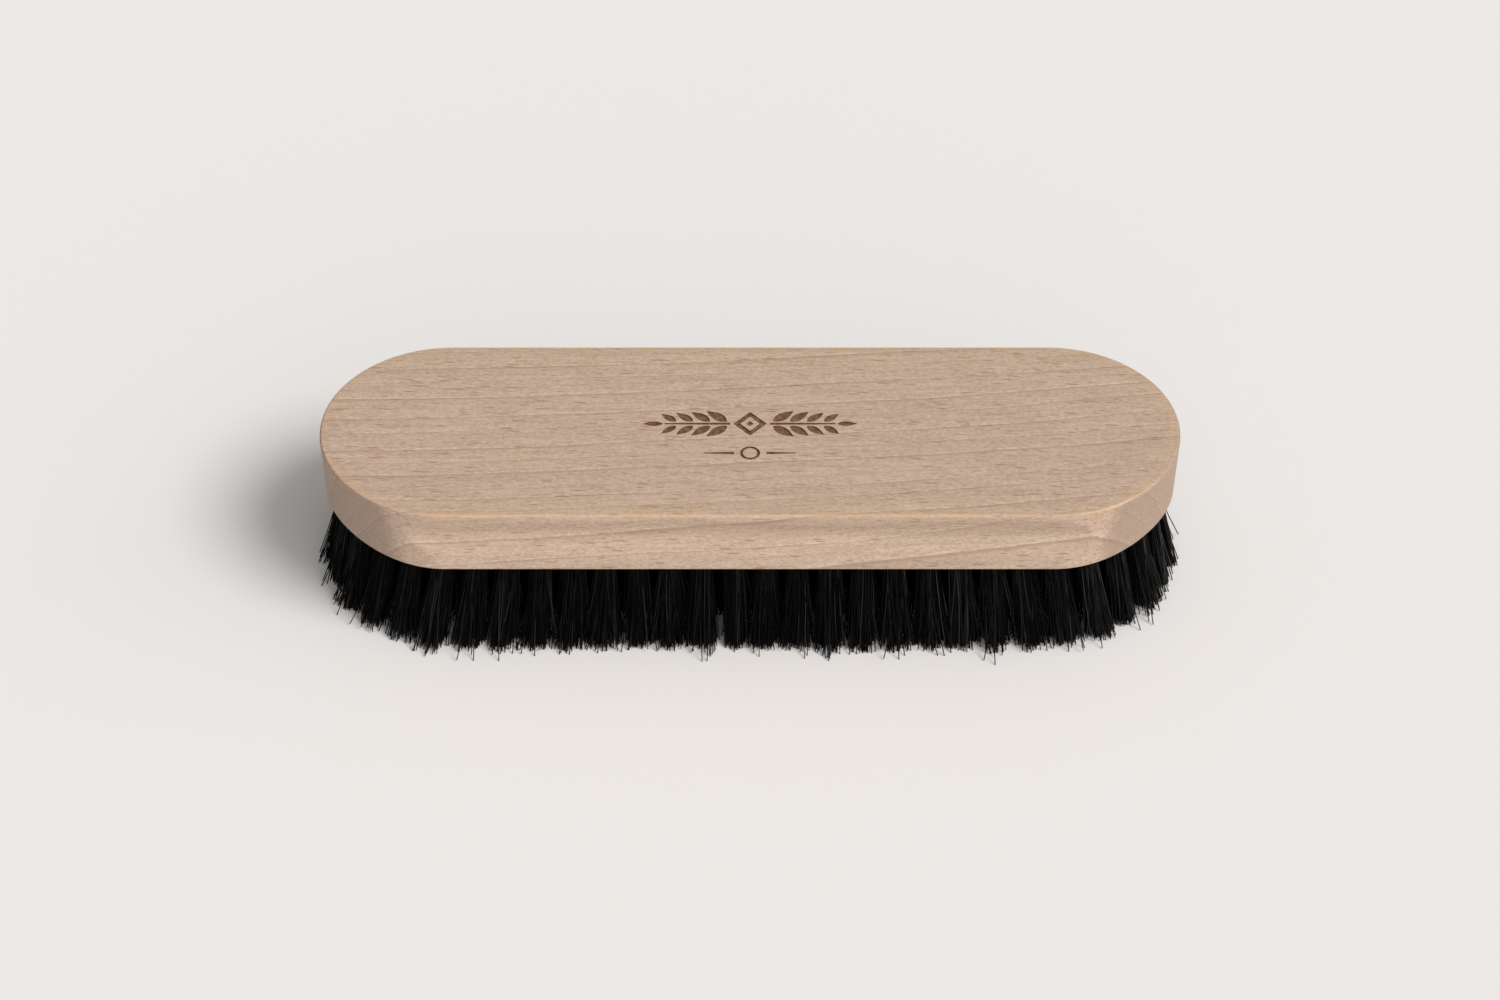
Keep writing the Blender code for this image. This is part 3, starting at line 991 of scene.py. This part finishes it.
def make_hair(context, name, nodes, fan, flare, seed):
    """The hair of some nodes' tufts as one piece, which replaces them."""
    settings = context.scene.brush_hair
    hair = shared("black_horsehair", hair_material, settings)
    values = {
        "Hairs": settings.hairs, "Hair Length": UNDERSIDE, "Hair Thickness": settings.thickness,
        "Bundle Radius": settings.bundle_radius, "Fan": fan, "Flare": flare,
        "Gather": settings.gather, "Stray": settings.stray, "Curl": settings.curl,
        "Ragged": settings.ragged, "Seed": seed, "Hair": hair,
    }
    tree = shared("hair_tufts", tuft_tree)
    piece = run_geometry_tree(name, tree, sites_mesh(name + "_sites", nodes), values)
    piece.data.shade_smooth()
    finished(piece, nodes)


class BRUSH_OT_rows(bpy.types.Operator):
    """Make the hair of each row of tufts across the block"""

    bl_idname = "brush.rows"
    bl_label = "Hair in rows"

    def execute(self, context):
        settings = context.scene.brush_hair
        for number, node in enumerate(ROW_NODES, start=1):
            seed = settings.seed + ROW_SEED_STEP * number
            name = f"hair_row_{number:02d}"
            make_hair(context, name, [node], settings.fan, settings.flare, seed)
        return {"FINISHED"}


class BRUSH_OT_ends(bpy.types.Operator):
    """Make the hair of the tufts round both ends"""

    bl_idname = "brush.ends"
    bl_label = "Hair round the ends"

    def execute(self, context):
        settings = context.scene.brush_hair
        for name, nodes in (("left", LEFT_NODES), ("right", RIGHT_NODES)):
            seed = settings.seed + END_SEEDS[name]
            make_hair(context, f"hair_{name}_end", nodes, settings.end_fan, 1.0, seed)
        return {"FINISHED"}


def add_sun(context, name, towards, strength, softness):
    """A distant light that stands in this direction from the brush."""
    data = bpy.data.lights.new(name, "SUN")
    data.energy = strength
    data.angle = softness
    lamp = bpy.data.objects.new(name, data)
    lamp.rotation_euler = Vector(towards).to_track_quat("Z", "Y").to_euler()
    context.scene.collection.objects.link(lamp)


class BRUSH_OT_stage(bpy.types.Operator):
    """Make the floor, the lights and the camera"""

    bl_idname = "brush.stage"
    bl_label = "Stage"

    def execute(self, context):
        settings = context.scene.brush_stage
        scene = context.scene
        mesh = bpy.data.meshes.new("floor")
        signs = ((-1, -1), (1, -1), (1, 1), (-1, 1))
        corners = [(x * FLOOR_HALF, y * FLOOR_HALF, 0) for x, y in signs]
        mesh.from_pydata(corners, [], [(0, 1, 2, 3)])
        mesh.materials.append(floor_material(settings))
        floor = bpy.data.objects.new("floor", mesh)
        scene.collection.objects.link(floor)
        world = bpy.data.worlds.new("even_light")
        world.use_nodes = True
        background = world.node_tree.nodes["Background"]
        background.inputs["Color"].default_value = (1.0, 1.0, 1.0, 1.0)
        background.inputs["Strength"].default_value = settings.sky
        scene.world = world
        add_sun(context, "key", KEY_FROM, settings.key, KEY_SOFTNESS)
        add_sun(context, "fill", FILL_FROM, settings.fill, WIDE_SOFTNESS)
        add_sun(context, "side", SIDE_FROM, settings.side, WIDE_SOFTNESS)
        forward = Vector((0.0, math.cos(settings.elevation), -math.sin(settings.elevation)))
        upward = Vector((0.0, math.sin(settings.elevation), math.cos(settings.elevation)))
        data = bpy.data.cameras.new("camera")
        data.lens = settings.lens
        data.clip_end = 50.0
        camera = bpy.data.objects.new("camera", data)
        middle = Vector((0.0, 0.0, TOP))
        camera.location = middle - forward * settings.distance - upward * settings.raised
        camera.rotation_euler = (math.pi / 2 - settings.elevation, 0.0, 0.0)
        scene.collection.objects.link(camera)
        scene.camera = camera
        scene.view_settings.view_transform = "Standard"
        return {"FINISHED"}


class BRUSH_PT_panel(bpy.types.Panel):
    """The brush's operators and settings"""

    bl_idname = "BRUSH_PT_panel"
    bl_label = "Clothes Brush"
    bl_space_type = "VIEW_3D"
    bl_region_type = "UI"
    bl_category = "Brush"

    def draw(self, context):
        for operator in OPERATORS:
            self.layout.operator(operator.bl_idname)
        for name in SETTINGS:
            settings = getattr(context.scene, name)
            box = self.layout.box()
            for item in settings.bl_rna.properties:
                if item.identifier not in ("rna_type", "name"):
                    box.prop(settings, item.identifier)


SETTINGS = {
    "brush_block": BlockSettings,
    "brush_hair": HairSettings,
    "brush_stage": StageSettings,
}
OPERATORS = (BRUSH_OT_block, BRUSH_OT_anchors, BRUSH_OT_rows, BRUSH_OT_ends, BRUSH_OT_stage)
CLASSES = (*SETTINGS.values(), *OPERATORS, BRUSH_PT_panel)


def register():
    for item in CLASSES:
        bpy.utils.register_class(item)
    for name, settings in SETTINGS.items():
        setattr(bpy.types.Scene, name, PointerProperty(type=settings))


def unregister():
    for name in SETTINGS:
        delattr(bpy.types.Scene, name)
    for item in reversed(CLASSES):
        bpy.utils.unregister_class(item)


def main():
    register()
    bpy.ops.brush.stage()
    bpy.ops.brush.block()
    bpy.ops.brush.anchors()
    bpy.ops.brush.rows()
    bpy.ops.brush.ends()


if __name__ == "__main__":
    main()
